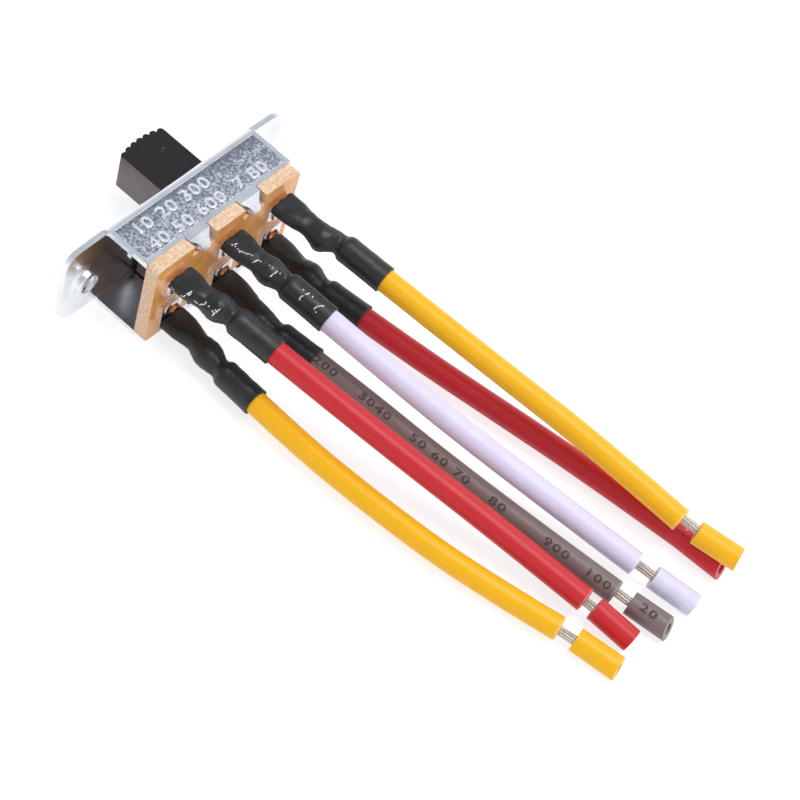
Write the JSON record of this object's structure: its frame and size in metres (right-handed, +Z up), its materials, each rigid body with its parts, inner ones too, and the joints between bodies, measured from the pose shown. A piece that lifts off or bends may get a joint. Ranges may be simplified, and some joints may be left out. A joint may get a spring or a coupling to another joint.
{
  "type": "ceiling fan reverse switch",
  "caption": "Panel-mounted slide switch in a folded steel bracket with two screw ears, a serrated black knob and sleeved, soldered leads with stripped ends.",
  "frame": {"origin": "middle of the mounting plate's front face, halfway between the two screw holes", "axes": "+X along the slider's travel, +Y out through the panel, towards the knob's free end, +Z up from the lower side wall to the upper one; the leads run out towards -Y"},
  "size_m": [0.0346, 0.0816, 0.0126],
  "materials": {
    "bracket_steel": "satin zinc plate",
    "board_laminate": "glossy paper laminate with fibrous cut edges",
    "slider_black": "satin moulded",
    "contact_brass": "satin",
    "spring_steel": "satin",
    "terminal_tin": "bright tin plate",
    "rivet_brass": "polished",
    "solder": "dull solder",
    "sleeve_black": "semi-gloss shrunk tubing",
    "conductor_tin": "tinned strands",
    "wire_yellow": "semi-gloss insulation",
    "wire_white": "semi-gloss insulation",
    "wire_red": "semi-gloss insulation",
    "wire_grey": "semi-gloss insulation"
  },
  "bodies": {
    "housing": {"bracket": "bracket_steel", "terminal_board": "board_laminate", "terminal_yellow_upper": "terminal_tin", "contact_rivet_yellow_upper": "rivet_brass", "solder_joint_yellow_upper": "solder", "sleeve_yellow_upper": "sleeve_black", "wire_yellow_upper": "wire_yellow", "conductor_yellow_upper": "conductor_tin", "end_slug_yellow_upper": "wire_yellow", "terminal_white_upper": "terminal_tin", "contact_rivet_white_upper": "rivet_brass", "solder_joint_white_upper": "solder", "sleeve_white_upper": "sleeve_black", "wire_white_upper": "wire_white", "conductor_white_upper": "conductor_tin", "end_slug_white_upper": "wire_white", "terminal_red_upper": "terminal_tin", "contact_rivet_red_upper": "rivet_brass", "solder_joint_red_upper": "solder", "sleeve_red_upper": "sleeve_black", "wire_red_upper": "wire_red", "conductor_red_upper": "conductor_tin", "end_slug_red_upper": "wire_red", "terminal_red_lower": "terminal_tin", "contact_rivet_red_lower": "rivet_brass", "solder_joint_red_lower": "solder", "sleeve_red_lower": "sleeve_black", "wire_red_lower": "wire_red", "conductor_red_lower": "conductor_tin", "end_slug_red_lower": "wire_red", "terminal_grey_lower": "terminal_tin", "contact_rivet_grey_lower": "rivet_brass", "solder_joint_grey_lower": "solder", "sleeve_grey_lower": "sleeve_black", "wire_grey_lower": "wire_grey", "conductor_grey_lower": "conductor_tin", "end_slug_grey_lower": "wire_grey", "terminal_yellow_lower": "terminal_tin", "contact_rivet_yellow_lower": "rivet_brass", "solder_joint_yellow_lower": "solder", "sleeve_yellow_lower": "sleeve_black", "wire_yellow_lower": "wire_yellow", "conductor_yellow_lower": "conductor_tin", "end_slug_yellow_lower": "wire_yellow"},
    "slider": {"slider": "slider_black", "contact_clip_upper": "contact_brass", "contact_clip_lower": "contact_brass", "clip_spring_upper": "spring_steel", "clip_spring_lower": "spring_steel"}
  },
  "joints": [
    {"name": "knob_slide", "type": "slide", "parent": "housing", "child": "slider", "axis": [1, 0, 0], "range_m": [-0.00584, 0]}
  ]
}
